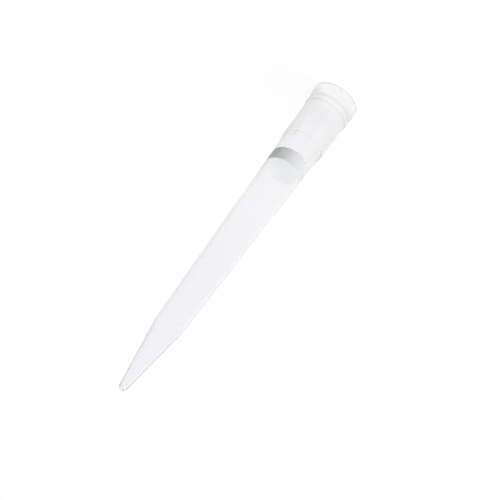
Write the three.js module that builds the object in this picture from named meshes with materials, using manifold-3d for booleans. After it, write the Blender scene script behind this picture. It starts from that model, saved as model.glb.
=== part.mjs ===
// A 1000 microlitre filter tip for an air-displacement pipette.
//
// Two pieces make it up: the tip, moulded in one shot of translucent polypropylene, and the
// porous plug that is pressed into its bore. Millimetres, +Z up. The tip stands on its mouth,
// with the centre of the mouth's rim at the origin and the narrow end at the top.

import * as THREE from 'three';
import { mergeVertices } from 'three/addons/utils/BufferGeometryUtils.js';
import Module from 'manifold-3d';

// ---------------------------------------------------------------- driving dimensions

// Overall
const TIP_LENGTH = 76.5;
const MOUTH_DIAMETER = 8.76;
const END_DIAMETER = 1.48;
const ORIFICE_DIAMETER = 0.76;

// Heights above the mouth
const RIM_HEIGHT = 1.65;
const BAND_HEIGHT = 4.2;
const COLLAR_HEIGHT = 12.3;
const CONE_LENGTH = 16.4; // the steep cone at the narrow end

// Steps inward at each of those heights, and how fast the outside narrows per mm of height
const BAND_STEP = 0.11;
const COLLAR_STEP = 0.1;
const BODY_STEP = 0.125;
const COLLAR_TAPER = 0.024;
const BODY_TAPER = 0.022;

// Walls, and the bore that they leave
const LIP_WALL = 0.38;
const SOCKET_WALL = 0.89;
const BODY_WALL = 0.58;
const LEAD_IN_HEIGHT = 2.67;
const LEAD_IN_LEDGE = 0.12; // the ledge between the lead-in and the socket
const SOCKET_DEPTH = 14.0;

// Ribs round the collar. Their crests are parallel to the axis, so that they rise out of the
// tapering collar about half way along it.
const RIB_COUNT = 8;
const RIB_WIDTH = 0.75;
const RIB_PROUD = 0.09; // above the collar, at the collar's end
const RIB_ROUND = 0.08;
const RIB_OVERRUN = 1.1; // past the collar's end, at full height
const RIB_RUNOUT = 0.3; // from there down into the wall

// Porous plug
const PLUG_SETBACK = 2.66; // beyond the socket, so that no nozzle reaches it
const PLUG_LENGTH = 2.78;
const PLUG_CHAMFER = 0.12;
const PLUG_CLEARANCE = 0.03;

// Finish
const LIP_ROUND = 0.12;
const STEP_RUN = 0.12;
const SEGMENTS_AROUND = 96;
const SEGMENTS_PER_CURVE = 4;
const SEGMENTS_PER_BEVEL = 2;
const MERGE_DISTANCE = 1e-5;

// ---------------------------------------------------------------- sizes that follow

const mouthRadius = MOUTH_DIAMETER / 2;
const bandRadius = mouthRadius - BAND_STEP;
const collarRadiusAt = (z) => bandRadius - COLLAR_STEP - COLLAR_TAPER * (z - BAND_HEIGHT);
const ribRadius = collarRadiusAt(COLLAR_HEIGHT) + RIB_PROUD;
const bodyStartRadius = collarRadiusAt(COLLAR_HEIGHT) - BODY_STEP;
const bodyRadiusAt = (z) => bodyStartRadius - BODY_TAPER * (z - COLLAR_HEIGHT);
const boreRadiusAt = (z) => bodyRadiusAt(z) - BODY_WALL;
const socketRadius = bandRadius - SOCKET_WALL;
const shoulderHeight = TIP_LENGTH - CONE_LENGTH;

// ---------------------------------------------------------------- solids

const wasm = await Module();
wasm.setup();

// A closed three.js geometry becomes a solid once its shared vertices are one vertex each.
function toSolid(geometry) {
  const bare = geometry.clone();
  bare.deleteAttribute('normal');
  bare.deleteAttribute('uv');
  const merged = mergeVertices(bare, MERGE_DISTANCE);
  return new wasm.Manifold(new wasm.Mesh({
    numProp: 3,
    vertProperties: new Float32Array(merged.attributes.position.array),
    triVerts: new Uint32Array(merged.index.array),
  }));
}

function toGeometry(solid) {
  const mesh = solid.getMesh();
  const geometry = new THREE.BufferGeometry();
  geometry.setAttribute('position', new THREE.BufferAttribute(mesh.vertProperties, 3));
  geometry.setIndex(new THREE.BufferAttribute(mesh.triVerts, 1));
  geometry.computeVertexNormals();
  return geometry;
}

// Turns an outline of (radius, height) points about the Z axis. The outline runs with the
// material on its left.
function revolve(outline) {
  const points = outline.getPoints(SEGMENTS_PER_CURVE);
  const geometry = new THREE.LatheGeometry(points, SEGMENTS_AROUND);
  geometry.rotateX(Math.PI / 2);
  return geometry;
}

// ---------------------------------------------------------------- moulded tip

// Round the mouth's lip, up the outside to the narrow end, and back down the bore.
function tipOutline() {
  const lipRadius = mouthRadius - LIP_WALL;
  const shoulderRadius = bodyRadiusAt(shoulderHeight);
  const outline = new THREE.Path();
  outline.moveTo(lipRadius, 0);
  outline.lineTo(mouthRadius - LIP_ROUND, 0);
  outline.quadraticCurveTo(mouthRadius, 0, mouthRadius, LIP_ROUND);
  outline.lineTo(mouthRadius, RIM_HEIGHT);
  outline.lineTo(bandRadius, RIM_HEIGHT + STEP_RUN);
  outline.lineTo(bandRadius, BAND_HEIGHT);
  outline.lineTo(collarRadiusAt(BAND_HEIGHT), BAND_HEIGHT);
  outline.lineTo(collarRadiusAt(COLLAR_HEIGHT), COLLAR_HEIGHT);
  outline.lineTo(bodyStartRadius, COLLAR_HEIGHT);
  outline.lineTo(shoulderRadius, shoulderHeight);
  outline.lineTo(END_DIAMETER / 2, TIP_LENGTH);
  outline.lineTo(ORIFICE_DIAMETER / 2, TIP_LENGTH);
  outline.lineTo(shoulderRadius - BODY_WALL, shoulderHeight);
  outline.lineTo(boreRadiusAt(SOCKET_DEPTH), SOCKET_DEPTH);
  outline.lineTo(socketRadius, LEAD_IN_HEIGHT);
  outline.lineTo(socketRadius + LEAD_IN_LEDGE, LEAD_IN_HEIGHT);
  outline.lineTo(lipRadius, 0);
  return outline;
}

// A rib from the side, in (radius, height). Its root is buried in the wall all the way, and so is
// its crest next to the band. Beyond the collar it stands on the body, and then runs out.
function ribOutline() {
  const start = BAND_HEIGHT;
  const crestEnd = COLLAR_HEIGHT + RIB_OVERRUN;
  const end = crestEnd + RIB_RUNOUT;
  const root = (z) => bodyRadiusAt(z) - BODY_WALL / 2;
  const outline = new THREE.Shape();
  outline.moveTo(root(start), start);
  outline.lineTo(ribRadius, start);
  outline.lineTo(ribRadius, crestEnd);
  outline.lineTo(root(end), end);
  return outline;
}

function rib(index) {
  const geometry = new THREE.ExtrudeGeometry(ribOutline(), {
    depth: RIB_WIDTH - 2 * RIB_ROUND,
    bevelThickness: RIB_ROUND,
    bevelSize: RIB_ROUND,
    bevelOffset: -RIB_ROUND,
    bevelSegments: SEGMENTS_PER_BEVEL,
  });
  geometry.translate(0, 0, RIB_ROUND - RIB_WIDTH / 2);
  geometry.rotateX(Math.PI / 2);
  geometry.rotateZ((index / RIB_COUNT) * 2 * Math.PI);
  return geometry;
}

function tipBody() {
  let solid = toSolid(revolve(tipOutline()));
  for (let index = 0; index < RIB_COUNT; index += 1) {
    solid = solid.add(toSolid(rib(index)));
  }
  return toGeometry(solid);
}

// ---------------------------------------------------------------- porous plug

// The plug follows the bore's taper all the way up, with a small chamfer at each face.
function plugOutline() {
  const bottom = SOCKET_DEPTH + PLUG_SETBACK;
  const top = bottom + PLUG_LENGTH;
  const side = (z) => boreRadiusAt(z) - PLUG_CLEARANCE;
  const outline = new THREE.Path();
  outline.moveTo(0, bottom);
  outline.lineTo(side(bottom) - PLUG_CHAMFER, bottom);
  outline.lineTo(side(bottom + PLUG_CHAMFER), bottom + PLUG_CHAMFER);
  outline.lineTo(side(top - PLUG_CHAMFER), top - PLUG_CHAMFER);
  outline.lineTo(side(top) - PLUG_CHAMFER, top);
  outline.lineTo(0, top);
  return outline;
}

// ---------------------------------------------------------------- materials and assembly

const polypropylene = new THREE.MeshStandardMaterial({
  color: 0xf1f0f4,
  roughness: 0.25,
  metalness: 0,
  transparent: true,
  opacity: 0.55,
});

const porousPlastic = new THREE.MeshStandardMaterial({
  color: 0xdfe1e4,
  roughness: 0.9,
  metalness: 0,
});

function part(name, geometry, material) {
  const mesh = new THREE.Mesh(geometry, material);
  mesh.name = name;
  return mesh;
}

const pipetteTip = new THREE.Group();
pipetteTip.add(part('tip_body', tipBody(), polypropylene));
pipetteTip.add(part('aerosol_filter', revolve(plugOutline()), porousPlastic));

export default pipetteTip;
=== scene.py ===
"""Looks of the filter pipette tip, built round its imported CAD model. Metres, +Z up."""

import math

import bpy
import numpy as np
from mathutils import Matrix, Vector


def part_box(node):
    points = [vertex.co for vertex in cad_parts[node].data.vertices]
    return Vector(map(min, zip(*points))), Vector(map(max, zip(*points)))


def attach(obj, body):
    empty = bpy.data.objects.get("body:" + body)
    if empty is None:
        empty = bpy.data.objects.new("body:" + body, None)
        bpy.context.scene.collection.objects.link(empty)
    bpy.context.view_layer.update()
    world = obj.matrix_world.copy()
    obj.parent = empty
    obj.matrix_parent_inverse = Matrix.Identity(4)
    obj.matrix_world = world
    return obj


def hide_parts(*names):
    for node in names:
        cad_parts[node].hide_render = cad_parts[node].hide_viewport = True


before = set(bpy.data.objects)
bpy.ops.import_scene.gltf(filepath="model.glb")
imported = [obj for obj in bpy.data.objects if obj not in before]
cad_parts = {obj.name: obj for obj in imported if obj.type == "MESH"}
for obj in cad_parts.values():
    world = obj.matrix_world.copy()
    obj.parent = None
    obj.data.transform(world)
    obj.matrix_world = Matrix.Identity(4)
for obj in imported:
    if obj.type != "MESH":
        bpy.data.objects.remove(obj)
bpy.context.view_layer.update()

MM = 0.001

# ---------------------------------------------------------------- sizes, in mm

# Overall sizes come from the CAD nodes.
_, tip_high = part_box("tip_body")
plug_low, plug_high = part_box("aerosol_filter")
TIP_LENGTH = tip_high.z / MM
MOUTH_RADIUS = tip_high.x / MM
PLUG_BOTTOM = plug_low.z / MM
PLUG_TOP = plug_high.z / MM

# The rest repeats the CAD source.
END_RADIUS = 0.74
ORIFICE_RADIUS = 0.38
RIM_HEIGHT = 1.65
BAND_HEIGHT = 4.2
COLLAR_HEIGHT = 12.3
CONE_LENGTH = 16.4
BAND_STEP = 0.11
COLLAR_STEP = 0.1
BODY_STEP = 0.125
COLLAR_TAPER = 0.024
BODY_TAPER = 0.022
LIP_WALL = 0.38
SOCKET_WALL = 0.89
BODY_WALL = 0.58
LEAD_IN_HEIGHT = 2.67
LEAD_IN_LEDGE = 0.12
SOCKET_DEPTH = 14.0
RIB_COUNT = 8
RIB_WIDTH = 0.75
RIB_PROUD = 0.09
RIB_OVERRUN = 1.1
RIB_RUNOUT = 0.3
STEP_RUN = 0.12

# Roundings of the outline's corners
EDGE = 0.04
LIP_ROUND = 0.12
END_ROUND = 0.08
ORIFICE_ROUND = 0.05
SHOULDER_ROUND = 4.0
BORE_SHOULDER_ROUND = 3.0
SOCKET_END_ROUND = 0.5

LEDGE_RISE = 0.006  # of the collar's end, so that no faces collapse where a rib crosses it

# Softening of the ribs, as moulded
RIB_END = COLLAR_HEIGHT + RIB_OVERRUN + RIB_RUNOUT
RIB_SIDE = 0.3  # across which a rib's flank rises
RIB_BLEND = 0.02  # where its crest comes out of the collar
RIB_SINK = 1.1  # along which its end sinks into the wall
RIB_SINK_END = RIB_END + 0.25

SHOULDER_HEIGHT = TIP_LENGTH - CONE_LENGTH
BAND_RADIUS = MOUTH_RADIUS - BAND_STEP


def collar_radius(z):
    return BAND_RADIUS - COLLAR_STEP - COLLAR_TAPER * (z - BAND_HEIGHT)


BODY_START_RADIUS = collar_radius(COLLAR_HEIGHT) - BODY_STEP


def body_radius(z):
    return BODY_START_RADIUS - BODY_TAPER * (z - COLLAR_HEIGHT)


def bore_radius(z):
    return body_radius(z) - BODY_WALL


# ---------------------------------------------------------------- mesh helpers

ROUNDING_STEPS = 5
ROUNDING_ROOM = 0.45  # share of the shorter neighbouring run that a rounding may take
SUPPORT_SHARE = 0.3  # of a rounding's reach
SUPPORT_LIMIT = 0.05


def rounded(corners):
    """A closed (radius, height) outline from (radius, height, rounding) corners."""
    points = []
    count = len(corners)
    for i, (r, z, rounding) in enumerate(corners):
        here = np.array((r, z))
        before = np.array(corners[i - 1][:2]) - here
        after = np.array(corners[(i + 1) % count][:2]) - here
        room = ROUNDING_ROOM * min(np.linalg.norm(before), np.linalg.norm(after))
        back = before / np.linalg.norm(before)
        on = after / np.linalg.norm(after)
        half_angle = math.acos(float(np.clip(back @ on, -1, 1))) / 2
        reach = min(room, rounding / math.tan(half_angle))
        start, end = here + back * reach, here + on * reach
        # support points keep the smooth shading of long faces straight
        support = min(SUPPORT_SHARE * reach, SUPPORT_LIMIT)
        points.append(start + back * support)
        for t in np.linspace(0, 1, ROUNDING_STEPS):
            points.append((1 - t) ** 2 * start + 2 * t * (1 - t) * here + t * t * end)
        points.append(end + on * support)
    return np.array(points)


def divided(points, longest):
    """The outline with its long runs divided; longest(mid height) is in mm."""
    out = []
    for here, there in zip(points, np.roll(points, -1, axis=0)):
        out.append(here)
        length = float(np.linalg.norm(there - here))
        parts = max(1, math.ceil(length / longest((here[1] + there[1]) / 2)))
        for k in range(1, parts):
            out.append(here + (there - here) * k / parts)
    return np.array(out)


def ring(radius, angle, z):
    """Points (x, y, z) at these radii, angles and heights."""
    return np.stack([radius * np.cos(angle), radius * np.sin(angle), z], -1)


def grid_mesh(name, rings, ends=()):
    """A mesh from rings of points, shape (rings, around, 3), in mm. The last ring joins the
    first, unless ends gives the two points that close the first and the last ring."""
    count, around, _ = rings.shape
    verts = rings.reshape(-1, 3)
    faces = []
    for i in range(count - 1 if len(ends) else count):
        a, b = i * around, ((i + 1) % count) * around
        for j in range(around):
            k = (j + 1) % around
            faces.append((a + j, a + k, b + k, b + j))
    if len(ends):
        verts = np.concatenate([verts, ends])
        first, last = count * around, count * around + 1
        top = (count - 1) * around
        for j in range(around):
            k = (j + 1) % around
            faces.append((k, j, first))
            faces.append((last, top + j, top + k))
    mesh = bpy.data.meshes.new(name)
    mesh.from_pydata((verts * MM).tolist(), [], faces)
    mesh.validate()
    mesh.shade_smooth()
    obj = bpy.data.objects.new(name, mesh)
    bpy.context.scene.collection.objects.link(obj)
    return obj


# ---------------------------------------------------------------- moulded tip

# Where the columns of points stand, in mm round the collar from the middle of a rib
CREST_COLUMNS = (0.0, 0.13, 0.24)
FLANK_COLUMNS = (0.02, 0.05, 0.08)  # to each side of the rib's edge
WALL_COLUMNS = (0.56, 0.7, 0.85, 1.0, 1.15, 1.3, 1.45)

# (from height, to height, longest run of the outline between rings); elsewhere it is LONGEST_RUN
FINE_RUNS = (
    (COLLAR_HEIGHT, RIB_SINK_END + 0.1, 0.1),
    (BAND_HEIGHT - 0.2, BAND_HEIGHT + 0.4, 0.06),
    (BAND_HEIGHT, COLLAR_HEIGHT, 0.5),
)
LONGEST_RUN = 2.5

# Heights over which the denser plastic of the ribs fades in and out
RIB_SHADE_IN = 1.5
RIB_SHADE_OUT = 0.2

# Attributes of the mesh that its material reads
RIB_ATTRIBUTE = "rib"
OUTSIDE_ATTRIBUTE = "outside"


def tip_corners():
    """Corners round the mouth's lip, up the outside to the narrow end, and back down the bore."""
    lip = MOUTH_RADIUS - LIP_WALL
    shoulder = body_radius(SHOULDER_HEIGHT)
    socket = BAND_RADIUS - SOCKET_WALL
    return [
        (lip, 0, EDGE),
        (MOUTH_RADIUS, 0, LIP_ROUND),
        (MOUTH_RADIUS, RIM_HEIGHT, EDGE),
        (BAND_RADIUS, RIM_HEIGHT + STEP_RUN, EDGE),
        (BAND_RADIUS, BAND_HEIGHT, EDGE),
        (collar_radius(BAND_HEIGHT), BAND_HEIGHT, EDGE),
        (collar_radius(COLLAR_HEIGHT), COLLAR_HEIGHT, EDGE),
        (BODY_START_RADIUS, COLLAR_HEIGHT + LEDGE_RISE, EDGE),
        (shoulder, SHOULDER_HEIGHT, SHOULDER_ROUND),
        (END_RADIUS, TIP_LENGTH, END_ROUND),
        (ORIFICE_RADIUS, TIP_LENGTH, ORIFICE_ROUND),
        (shoulder - BODY_WALL, SHOULDER_HEIGHT, BORE_SHOULDER_ROUND),
        (bore_radius(SOCKET_DEPTH), SOCKET_DEPTH, SOCKET_END_ROUND),
        (socket, LEAD_IN_HEIGHT, EDGE),
        (socket + LEAD_IN_LEDGE, LEAD_IN_HEIGHT, EDGE),
    ]


def angles():
    """Angles round the tip, closest together at the sides of the ribs."""
    pitch = 2 * math.pi / RIB_COUNT
    flanks = [RIB_WIDTH / 2 + side * off for off in FLANK_COLUMNS for side in (-1, 1)]
    nominal = collar_radius(COLLAR_HEIGHT / 2)
    one = [column / nominal for column in (*CREST_COLUMNS, *flanks, *WALL_COLUMNS)]
    both = {round(a, 9) for a in one + [-a for a in one]}
    whole = sorted(both | {round(pitch / 2, 9)})
    return np.array([i * pitch + a for i in range(RIB_COUNT) for a in whole])


def longest_run(z):
    for low, high, run in FINE_RUNS:
        if low < z < high:
            return run
    return LONGEST_RUN


def smooth_step(x):
    x = np.clip(x, 0, 1)
    return x * x * (3 - 2 * x)


def rib_width_share(radius, angle):
    """1 within a rib's width and 0 outside it."""
    pitch = 2 * math.pi / RIB_COUNT
    off = (angle + pitch / 2) % pitch - pitch / 2
    side = np.abs(np.sin(off)) * radius
    return smooth_step((RIB_WIDTH / 2 + RIB_SIDE / 2 - side) / RIB_SIDE)


def rib_lift(radius, z, angle):
    """How far a rib lifts the outside at this height and angle."""
    rise = collar_radius(COLLAR_HEIGHT) + RIB_PROUD - radius
    if z < BAND_HEIGHT - STEP_RUN or z > RIB_SINK_END or rise <= -RIB_BLEND:
        return np.zeros_like(angle)
    lift = rise if rise >= RIB_BLEND else (rise + RIB_BLEND) ** 2 / (4 * RIB_BLEND)
    return lift * smooth_step((RIB_SINK_END - z) / RIB_SINK) * rib_width_share(radius, angle)


def rib_share(radius, z, angle):
    """1 along a rib's denser plastic, which reaches on under the collar's surface, else 0."""
    start = smooth_step((z - BAND_HEIGHT) / RIB_SHADE_IN)
    end = smooth_step((RIB_END - z) / RIB_SHADE_OUT)
    return start * end * rib_width_share(radius, angle)


def is_outside(radius, z):
    """Whether a point of the outline, below the end cone, is on the outer surface."""
    if z > LEAD_IN_HEIGHT:
        return radius > body_radius(z) - BODY_WALL / 2
    return radius > MOUTH_RADIUS - LIP_WALL / 2


def tip_mesh():
    around = angles()
    nothing = np.zeros_like(around)
    rings, ribs, outside = [], [], []
    for r, z in divided(rounded(tip_corners()), longest_run):
        outer = is_outside(r, z)
        lift = rib_lift(r, z, around) if outer else nothing
        rings.append(ring(r + lift, around, np.full_like(around, z)))
        ribs.append(rib_share(r, z, around) if outer else nothing)
        outside.append(np.full_like(around, outer))
    obj = grid_mesh("moulded_tip_shell", np.array(rings))
    for name, values in ((RIB_ATTRIBUTE, ribs), (OUTSIDE_ATTRIBUTE, outside)):
        attribute = obj.data.attributes.new(name, "FLOAT", "POINT")
        attribute.data.foreach_set("value", np.concatenate(values))
    return obj


tip = tip_mesh()
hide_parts("tip_body")
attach(tip, "root")

# ---------------------------------------------------------------- porous plug

PLUG_TILT = math.radians(6.0)
PLUG_SQUEEZE = 0.01  # into the wall, so that it touches all round
PLUG_EDGE = 0.025
PLUG_COLUMNS = 192
PLUG_FACE_RINGS = (0.1, 0.2, 0.35, 0.5, 0.65, 0.8, 0.9, 0.96)
PLUG_EDGE_RINGS = 5
PLUG_SIDE_RUNS = 11


def plug_mesh():
    """A disc that fills the bore, its faces a little out of square, as pressed in."""
    around = np.linspace(0, 2 * math.pi, PLUG_COLUMNS, endpoint=False)
    slope = math.tan(PLUG_TILT)

    def tilted(base, radius, lift):
        return ring(radius, around, base + slope * (radius * np.sin(around)) + lift)

    def face(base, inward):
        """Rings from near the middle of a face out over its rounded edge."""
        edge = bore_radius(base) + PLUG_SQUEEZE
        flat = [tilted(base, edge * share, 0) for share in PLUG_FACE_RINGS]
        turn = [
            tilted(
                base,
                edge - PLUG_EDGE * (1 - math.sin(t)),
                inward * PLUG_EDGE * (1 - math.cos(t)),
            )
            for t in np.linspace(0, math.pi / 2, PLUG_EDGE_RINGS)
        ]
        return flat + turn

    bottom, top = face(PLUG_BOTTOM, 1), face(PLUG_TOP, -1)
    side = []
    for t in np.linspace(0, 1, PLUG_SIDE_RUNS + 1)[1:-1]:
        middle = bottom[-1] + (top[-1] - bottom[-1]) * t
        wanted = bore_radius(middle[:, 2]) + PLUG_SQUEEZE
        middle[:, :2] *= (wanted / np.linalg.norm(middle[:, :2], axis=1))[:, None]
        side.append(middle)
    centres = np.array([(0, 0, PLUG_BOTTOM), (0, 0, PLUG_TOP)])
    return grid_mesh("porous_plug_disc", np.array(bottom + side + top[::-1]), centres)


plug = plug_mesh()
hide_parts("aerosol_filter")
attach(plug, "root")

# ---------------------------------------------------------------- node helpers


def new_material(name):
    material = bpy.data.materials.new(name)
    material.use_nodes = True
    nodes = material.node_tree.nodes
    nodes.clear()
    out = nodes.new("ShaderNodeOutputMaterial")
    return material, nodes, material.node_tree.links, out


def math_node(nodes, links, operation, *values):
    """A Math node of numbers or sockets."""
    node = nodes.new("ShaderNodeMath")
    node.operation = operation
    for socket, value in zip(node.inputs, values):
        if isinstance(value, (int, float)):
            socket.default_value = value
        else:
            links.new(value, socket)
    return node.outputs[0]


def object_place(nodes):
    return nodes.new("ShaderNodeTexCoord").outputs["Object"]


def stretched(nodes, links, place, scale):
    """The place with each axis scaled, so that a texture runs along the piece."""
    mapping = nodes.new("ShaderNodeMapping")
    mapping.inputs["Scale"].default_value = scale
    links.new(place, mapping.inputs["Vector"])
    return mapping.outputs["Vector"]


def noise(nodes, links, place, scale, detail):
    node = nodes.new("ShaderNodeTexNoise")
    node.inputs["Scale"].default_value = scale
    node.inputs["Detail"].default_value = detail
    links.new(place, node.inputs["Vector"])
    return node.outputs["Fac"]


def attribute_value(nodes, name):
    node = nodes.new("ShaderNodeAttribute")
    node.attribute_name = name
    return node.outputs["Fac"]


def spread(nodes, links, value, low, high, source=(0.0, 1.0)):
    """A value turned from its source range to one between low and high."""
    node = nodes.new("ShaderNodeMapRange")
    links.new(value, node.inputs["Value"])
    node.inputs["From Min"].default_value, node.inputs["From Max"].default_value = source
    node.inputs["To Min"].default_value = low
    node.inputs["To Max"].default_value = high
    return node.outputs["Result"]


def colour_of(nodes, tint):
    """A colour as a socket, for shades to vary."""
    node = nodes.new("ShaderNodeCombineXYZ")
    for socket, value in zip(node.inputs, tint):
        socket.default_value = value
    return node.outputs[0]


def scaled(nodes, links, colour, factor):
    node = nodes.new("ShaderNodeVectorMath")
    node.operation = "SCALE"
    links.new(colour, node.inputs[0])
    links.new(factor, node.inputs["Scale"])
    return node.outputs["Vector"]


def bump(nodes, links, height, strength, distance):
    node = nodes.new("ShaderNodeBump")
    node.inputs["Strength"].default_value = strength
    node.inputs["Distance"].default_value = distance
    links.new(height, node.inputs["Height"])
    return node.outputs["Normal"]


def mixed_shader(nodes, links, share, first, second=None):
    """Two shaders mixed by the share of the second, which is black if it isn't given."""
    mix = nodes.new("ShaderNodeMixShader")
    links.new(share, mix.inputs[0])
    links.new(first, mix.inputs[1])
    if second:
        links.new(second, mix.inputs[2])
    return mix.outputs[0]


def in_metres(heights):
    return tuple(height * MM for height in heights)


# ---------------------------------------------------------------- materials

# Colour of the clear plastic at heights in mm. It is cloudier and bluer in the narrow part.
PP_TINTS = (
    (0.0, (0.968, 0.964, 0.976)),
    (1.3, (0.968, 0.964, 0.976)),
    (1.7, (0.948, 0.946, 0.959)),
    (2.8, (0.950, 0.948, 0.961)),
    (4.4, (0.970, 0.966, 0.977)),
    (6.2, (0.970, 0.965, 0.976)),
    (7.4, (0.958, 0.952, 0.964)),
    (12.0, (0.959, 0.954, 0.966)),
    (13.5, (0.950, 0.950, 0.960)),
    (27.0, (0.953, 0.953, 0.963)),
    (38.0, (0.947, 0.946, 0.958)),
    (48.0, (0.941, 0.937, 0.962)),
    (76.5, (0.938, 0.934, 0.959)),
)
PP_IOR = 1.49

# Flow lines along the moulding, and the denser plastic of the ribs
PP_FLOW_STRETCH = (1.0, 1.0, 0.12)
PP_FLOW_SCALE = 900.0
PP_FLOW_DETAIL = 3.0
PP_CLOUD = 0.006
PP_RIB_SHADE = 0.96

# Painted shade, as dark rings in the outside over the lead-in's ledge and at the band's end:
# (height in mm, depth)
PP_LEDGE_PAINTED_SHADES = ((LEAD_IN_HEIGHT + 0.27, 0.2), (BAND_HEIGHT, 0.13))
PP_LEDGE_SHADE_REACH = 0.34

# Finish: satin on the collar and the ribs' ends, then polished
PP_SATIN = 0.21
PP_POLISHED = 0.125
PP_SATIN_END = (14.0, 16.2)
PP_ROUGH_VARIATION = 0.02
PP_POLISH_STRETCH = (1.0, 1.0, 0.3)
PP_POLISH_SCALE = 2500.0
PP_POLISH_DETAIL = 2.0
PP_BUMP = (0.1, 0.000004)

# The collar, whose mould is coarser, scatters a share of the light more widely.
PP_HAZE = 0.28
PP_HAZE_ROUGHNESS = 0.29
PP_HAZE_END = (COLLAR_HEIGHT - 0.06, COLLAR_HEIGHT)


def tint_by_height(nodes, links, height):
    """The colour of PP_TINTS at a height in metres."""
    ramp = nodes.new("ShaderNodeValToRGB")
    stops = ramp.color_ramp.elements
    while len(stops) < len(PP_TINTS):
        stops.new(1.0)
    for stop, (at, tint) in zip(stops, PP_TINTS):
        stop.position = at / TIP_LENGTH
        stop.color = (*tint, 1)
    along = spread(nodes, links, height, 0.0, 1.0, (0.0, TIP_LENGTH * MM))
    links.new(along, ramp.inputs["Fac"])
    return ramp.outputs["Color"]


def polypropylene():
    """Natural polypropylene: clear but faintly cloudy, with flow lines along the moulding."""
    material, nodes, links, out = new_material("translucent_polypropylene")
    place = object_place(nodes)
    parts = nodes.new("ShaderNodeSeparateXYZ")
    links.new(place, parts.inputs[0])
    height = parts.outputs["Z"]

    lines = stretched(nodes, links, place, PP_FLOW_STRETCH)
    flow = noise(nodes, links, lines, PP_FLOW_SCALE, PP_FLOW_DETAIL)
    cloud = spread(nodes, links, flow, 1.0 - PP_CLOUD, 1.0 + PP_CLOUD)
    colour = scaled(nodes, links, tint_by_height(nodes, links, height), cloud)
    dense = spread(nodes, links, attribute_value(nodes, RIB_ATTRIBUTE), 1.0, PP_RIB_SHADE)
    colour = scaled(nodes, links, colour, dense)
    outside = attribute_value(nodes, OUTSIDE_ATTRIBUTE)
    # Painted shade: the colour darkens in rings over the ledges, on the outside only.
    for ledge, shade_depth in PP_LEDGE_PAINTED_SHADES:
        off = math_node(nodes, links, "SUBTRACT", height, ledge * MM)
        off = math_node(nodes, links, "ABSOLUTE", off)
        band = spread(nodes, links, off, shade_depth, 0.0, (0.0, PP_LEDGE_SHADE_REACH * MM))
        painted_shade = math_node(nodes, links, "MULTIPLY", band, outside)
        clear = math_node(nodes, links, "SUBTRACT", 1.0, painted_shade)
        colour = scaled(nodes, links, colour, clear)

    grain = stretched(nodes, links, place, PP_POLISH_STRETCH)
    polish = noise(nodes, links, grain, PP_POLISH_SCALE, PP_POLISH_DETAIL)
    finish = spread(nodes, links, height, PP_SATIN, PP_POLISHED, in_metres(PP_SATIN_END))
    uneven = spread(nodes, links, polish, -PP_ROUGH_VARIATION, PP_ROUGH_VARIATION)
    normal = bump(nodes, links, polish, *PP_BUMP)

    clear_lobe = nodes.new("ShaderNodeBsdfPrincipled")
    links.new(math_node(nodes, links, "ADD", finish, uneven), clear_lobe.inputs["Roughness"])
    haze_lobe = nodes.new("ShaderNodeBsdfPrincipled")
    haze_lobe.inputs["Roughness"].default_value = PP_HAZE_ROUGHNESS
    for lobe in (clear_lobe, haze_lobe):
        lobe.inputs["Transmission Weight"].default_value = 1.0
        lobe.inputs["IOR"].default_value = PP_IOR
        links.new(colour, lobe.inputs["Base Color"])
        links.new(normal, lobe.inputs["Normal"])
    hazy = spread(nodes, links, height, PP_HAZE, 0.0, in_metres(PP_HAZE_END))
    both = mixed_shader(nodes, links, hazy, clear_lobe.outputs["BSDF"], haze_lobe.outputs["BSDF"])
    links.new(both, out.inputs["Surface"])
    return material


END_FACE = 0.07  # height of the frosted end, in mm
END_TINT = (0.965, 0.96, 0.99)
END_SHADES = (0.97, 1.03)
END_ROUGHNESS = (0.5, 0.7)
END_CLEARNESS = 0.2
END_GRAIN_SCALE = 20000.0
END_GRAIN_DETAIL = 3.0
END_BUMP = (0.3, 0.00001)


def frosted_end():
    """The cut face at the narrow end, which is matt where the moulding's gate was."""
    material, nodes, links, out = new_material("frosted_polypropylene")
    shader = nodes.new("ShaderNodeBsdfPrincipled")
    grain = noise(nodes, links, object_place(nodes), END_GRAIN_SCALE, END_GRAIN_DETAIL)
    shade = spread(nodes, links, grain, *END_SHADES)
    colour = scaled(nodes, links, colour_of(nodes, END_TINT), shade)
    links.new(colour, shader.inputs["Base Color"])
    links.new(spread(nodes, links, grain, *END_ROUGHNESS), shader.inputs["Roughness"])
    links.new(bump(nodes, links, grain, *END_BUMP), shader.inputs["Normal"])
    shader.inputs["Transmission Weight"].default_value = END_CLEARNESS
    shader.inputs["IOR"].default_value = PP_IOR
    links.new(shader.outputs["BSDF"], out.inputs["Surface"])
    return material


PLUG_TINT = (0.94, 0.95, 0.952)
PLUG_SHADES = (0.955, 1.035)
PLUG_ROUGHNESS = (0.8, 0.95)
PLUG_GRAINS = 5500.0  # cells per metre
PLUG_PORE_RANGE = (0.1, 0.8)
PLUG_PORE_SHARE = 0.6
PLUG_PATCH_SCALE = 1400.0
PLUG_PATCH_DETAIL = 3.0
PLUG_PATCH_SHARE = 0.4
PLUG_BUMP = (0.5, 0.00003)


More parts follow.
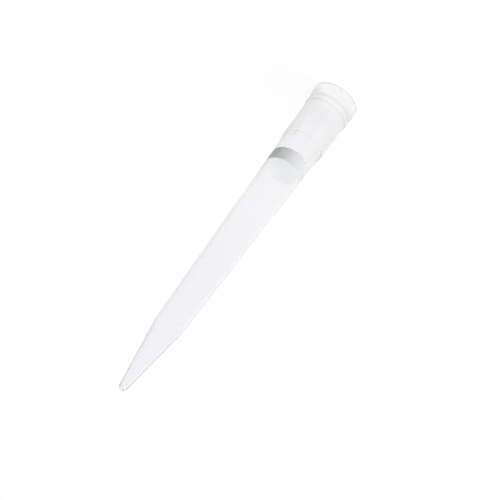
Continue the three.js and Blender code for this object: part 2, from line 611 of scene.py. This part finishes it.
def porous_plastic():
    """Sintered polyethylene: fused grains about 0.2 mm across with pores between them."""
    material, nodes, links, out = new_material("porous_polyethylene")
    shader = nodes.new("ShaderNodeBsdfPrincipled")
    place = object_place(nodes)
    grains = nodes.new("ShaderNodeTexVoronoi")
    grains.inputs["Scale"].default_value = PLUG_GRAINS
    links.new(place, grains.inputs["Vector"])
    pores = spread(nodes, links, grains.outputs["Distance"], 1.0, 0.0, PLUG_PORE_RANGE)
    patches = noise(nodes, links, place, PLUG_PATCH_SCALE, PLUG_PATCH_DETAIL)
    patchy = spread(nodes, links, patches, 0.0, PLUG_PATCH_SHARE)
    relief = math_node(nodes, links, "MULTIPLY_ADD", pores, PLUG_PORE_SHARE, patchy)
    shade = spread(nodes, links, relief, *PLUG_SHADES)
    colour = scaled(nodes, links, colour_of(nodes, PLUG_TINT), shade)
    links.new(colour, shader.inputs["Base Color"])
    links.new(spread(nodes, links, patches, *PLUG_ROUGHNESS), shader.inputs["Roughness"])
    links.new(bump(nodes, links, pores, *PLUG_BUMP), shader.inputs["Normal"])
    links.new(shader.outputs["BSDF"], out.inputs["Surface"])
    return material


tip.data.materials.append(polypropylene())
tip.data.materials.append(frosted_end())
for polygon in tip.data.polygons:
    polygon.material_index = int(polygon.center.z > (TIP_LENGTH - END_FACE) * MM)
plug.data.materials.append(porous_plastic())

# ---------------------------------------------------------------- floor, light and camera

WHITE = (1, 1, 1, 1)

# Reflected in the plastic, floor and sky are dimmer: (away from REFLECTED_TOWARDS, towards it)
REFLECTED_TOWARDS = (-1.0, 0.0, 0.0)
REFLECTED_RANGE = (-0.7, 0.8)
REFLECTED_FLOOR = (0.91, 1.03)
REFLECTED_SKY = (0.45, 0.8)

# The sky that lights matt surfaces: a broad soft light from one side
SKY_TOWARDS = (-0.68, -0.66, 0.31)
SKY_RANGE = (0.15, 1.0)
SKY_LEVELS = (0.1, 3.05)

FLOOR_HALF = 3.0
FLOOR_DROP = 0.00002  # below the tip, so that the two surfaces don't coincide
FLOOR_GREY = 0.4  # where it throws light on matt surfaces
FLOOR_SHADOW = 0.2  # where it is seen, to keep the tip's shadow
FLOOR_GLOW = 0.83  # adds up to white with the light on FLOOR_SHADOW
NEAR_SHADE = 0.965  # share of its reflected level that is left in the tip's shade
NEAR_RANGE = (0.012, 0.035)


def level_towards(nodes, links, direction, towards, reach, levels):
    """A level that rises between two levels as a direction turns towards another. The reach
    gives the cosines between which it rises."""
    unit = nodes.new("ShaderNodeVectorMath")
    unit.operation = "NORMALIZE"
    links.new(direction, unit.inputs[0])
    dot = nodes.new("ShaderNodeVectorMath")
    dot.operation = "DOT_PRODUCT"
    links.new(unit.outputs["Vector"], dot.inputs[0])
    dot.inputs[1].default_value = Vector(towards).normalized()
    level = nodes.new("ShaderNodeMapRange")
    level.interpolation_type = "SMOOTHSTEP"
    level.inputs["From Min"].default_value, level.inputs["From Max"].default_value = reach
    level.inputs["To Min"].default_value, level.inputs["To Max"].default_value = levels
    links.new(dot.outputs["Value"], level.inputs["Value"])
    return level.outputs["Result"]


def ray_kinds(nodes, links):
    """(seen, reflected). Seen: the ray shows what lies behind, straight on, through the clear
    plastic or off its gloss, and doesn't gather light for a matt surface. Reflected: it was
    reflected on the way."""
    path = nodes.new("ShaderNodeLightPath").outputs
    seen = math_node(nodes, links, "MAXIMUM", path["Is Camera Ray"], path["Is Glossy Ray"])
    seen = math_node(nodes, links, "MAXIMUM", seen, path["Is Transmission Ray"])
    direct = math_node(nodes, links, "LESS_THAN", path["Diffuse Depth"], 0.5)
    seen = math_node(nodes, links, "MULTIPLY", seen, direct)
    reflected = math_node(nodes, links, "GREATER_THAN", path["Glossy Depth"], 0.5)
    return seen, reflected


def glow_shader(nodes, links, kind, direction, straight, levels, reflected, shade=1.0):
    """What a seen ray meets: the white background, or the studio's dimmer side by reflection."""
    level = level_towards(nodes, links, direction, REFLECTED_TOWARDS, REFLECTED_RANGE, levels)
    level = math_node(nodes, links, "MULTIPLY", level, shade)
    pick = nodes.new("ShaderNodeMix")
    links.new(reflected, pick.inputs["Factor"])
    pick.inputs[2].default_value = straight
    links.new(level, pick.inputs[3])
    glow = nodes.new(kind)
    glow.inputs["Color"].default_value = WHITE
    links.new(pick.outputs[0], glow.inputs["Strength"])
    return glow.outputs[0]


def grey_diffuse(nodes, grey):
    node = nodes.new("ShaderNodeBsdfDiffuse")
    node.inputs["Color"].default_value = (grey, grey, grey, 1)
    return node.outputs[0]


def floor_material():
    """Grey where it throws light on matt surfaces, and white with the tip's shadow where seen."""
    material, nodes, links, out = new_material("pale_floor")
    place = object_place(nodes)
    seen, reflected = ray_kinds(nodes, links)
    distance = nodes.new("ShaderNodeVectorMath")
    distance.operation = "LENGTH"
    links.new(place, distance.inputs[0])
    near = spread(nodes, links, distance.outputs["Value"], NEAR_SHADE, 1.0, NEAR_RANGE)
    glow = glow_shader(
        nodes,
        links,
        "ShaderNodeEmission",
        place,
        FLOOR_GLOW,
        REFLECTED_FLOOR,
        reflected,
        near,
    )
    unlit = math_node(nodes, links, "MULTIPLY", seen, reflected)
    lit = mixed_shader(nodes, links, unlit, grey_diffuse(nodes, FLOOR_SHADOW))
    add = nodes.new("ShaderNodeAddShader")
    links.new(lit, add.inputs[0])
    links.new(glow, add.inputs[1])
    plain = grey_diffuse(nodes, FLOOR_GREY)
    surface = mixed_shader(nodes, links, seen, plain, add.outputs[0])
    links.new(surface, out.inputs["Surface"])
    return material


def make_floor():
    mesh = bpy.data.meshes.new("floor")
    half = FLOOR_HALF
    corners = [(-half, -half, 0), (half, -half, 0), (half, half, 0), (-half, half, 0)]
    mesh.from_pydata(corners, [], [(0, 1, 2, 3)])
    mesh.materials.append(floor_material())
    floor = bpy.data.objects.new("floor", mesh)
    bpy.context.scene.collection.objects.link(floor)
    floor.location.z = -FLOOR_DROP


def make_world():
    world = bpy.data.worlds.new("studio")
    bpy.context.scene.world = world
    world.use_nodes = True
    nodes, links = world.node_tree.nodes, world.node_tree.links
    nodes.clear()
    out = nodes.new("ShaderNodeOutputWorld")
    direction = nodes.new("ShaderNodeTexCoord").outputs["Generated"]
    seen, reflected = ray_kinds(nodes, links)
    white = glow_shader(
        nodes, links, "ShaderNodeBackground", direction, 1.0, REFLECTED_SKY, reflected
    )
    sky = nodes.new("ShaderNodeBackground")
    sky.inputs["Color"].default_value = WHITE
    level = level_towards(nodes, links, direction, SKY_TOWARDS, SKY_RANGE, SKY_LEVELS)
    links.new(level, sky.inputs["Strength"])
    surface = mixed_shader(nodes, links, seen, sky.outputs[0], white)
    links.new(surface, out.inputs["Surface"])


make_floor()
make_world()

LENS = 800.0
SENSOR_WIDTH = 36.0
CLIP = (0.1, 100.0)
CAMERA_ELEVATION = 31.661
CAMERA_ROLL = -143.523
CAMERA_AIM = (-3.681, 0.0, 36.982)
CAMERA_DISTANCE = 2013.5


def make_camera():
    data = bpy.data.cameras.new("camera")
    data.lens = LENS
    data.sensor_width = SENSOR_WIDTH
    data.clip_start, data.clip_end = CLIP
    camera = bpy.data.objects.new("camera", data)
    bpy.context.scene.collection.objects.link(camera)
    elevation = math.radians(CAMERA_ELEVATION)
    back = Vector((0, -math.cos(elevation), math.sin(elevation)))
    camera.rotation_mode = "QUATERNION"
    look = (-back).to_track_quat("-Z", "Y").to_matrix().to_4x4()
    turn = Matrix.Rotation(math.radians(CAMERA_ROLL), 4, "Z")
    camera.rotation_quaternion = (look @ turn).to_quaternion()
    camera.location = Vector(CAMERA_AIM) * MM + back * CAMERA_DISTANCE * MM
    bpy.context.scene.camera = camera


make_camera()
bpy.context.scene.view_settings.view_transform = "Standard"

# Light is guided a long way inside a clear wall, so its paths are allowed many turns, and
# gloss is not blurred after a matt bounce.
cycles = bpy.context.scene.cycles
cycles.max_bounces = 48
cycles.glossy_bounces = 32
cycles.transmission_bounces = 32
cycles.diffuse_bounces = 6
cycles.blur_glossy = 0.0

bpy.context.view_layer.update()
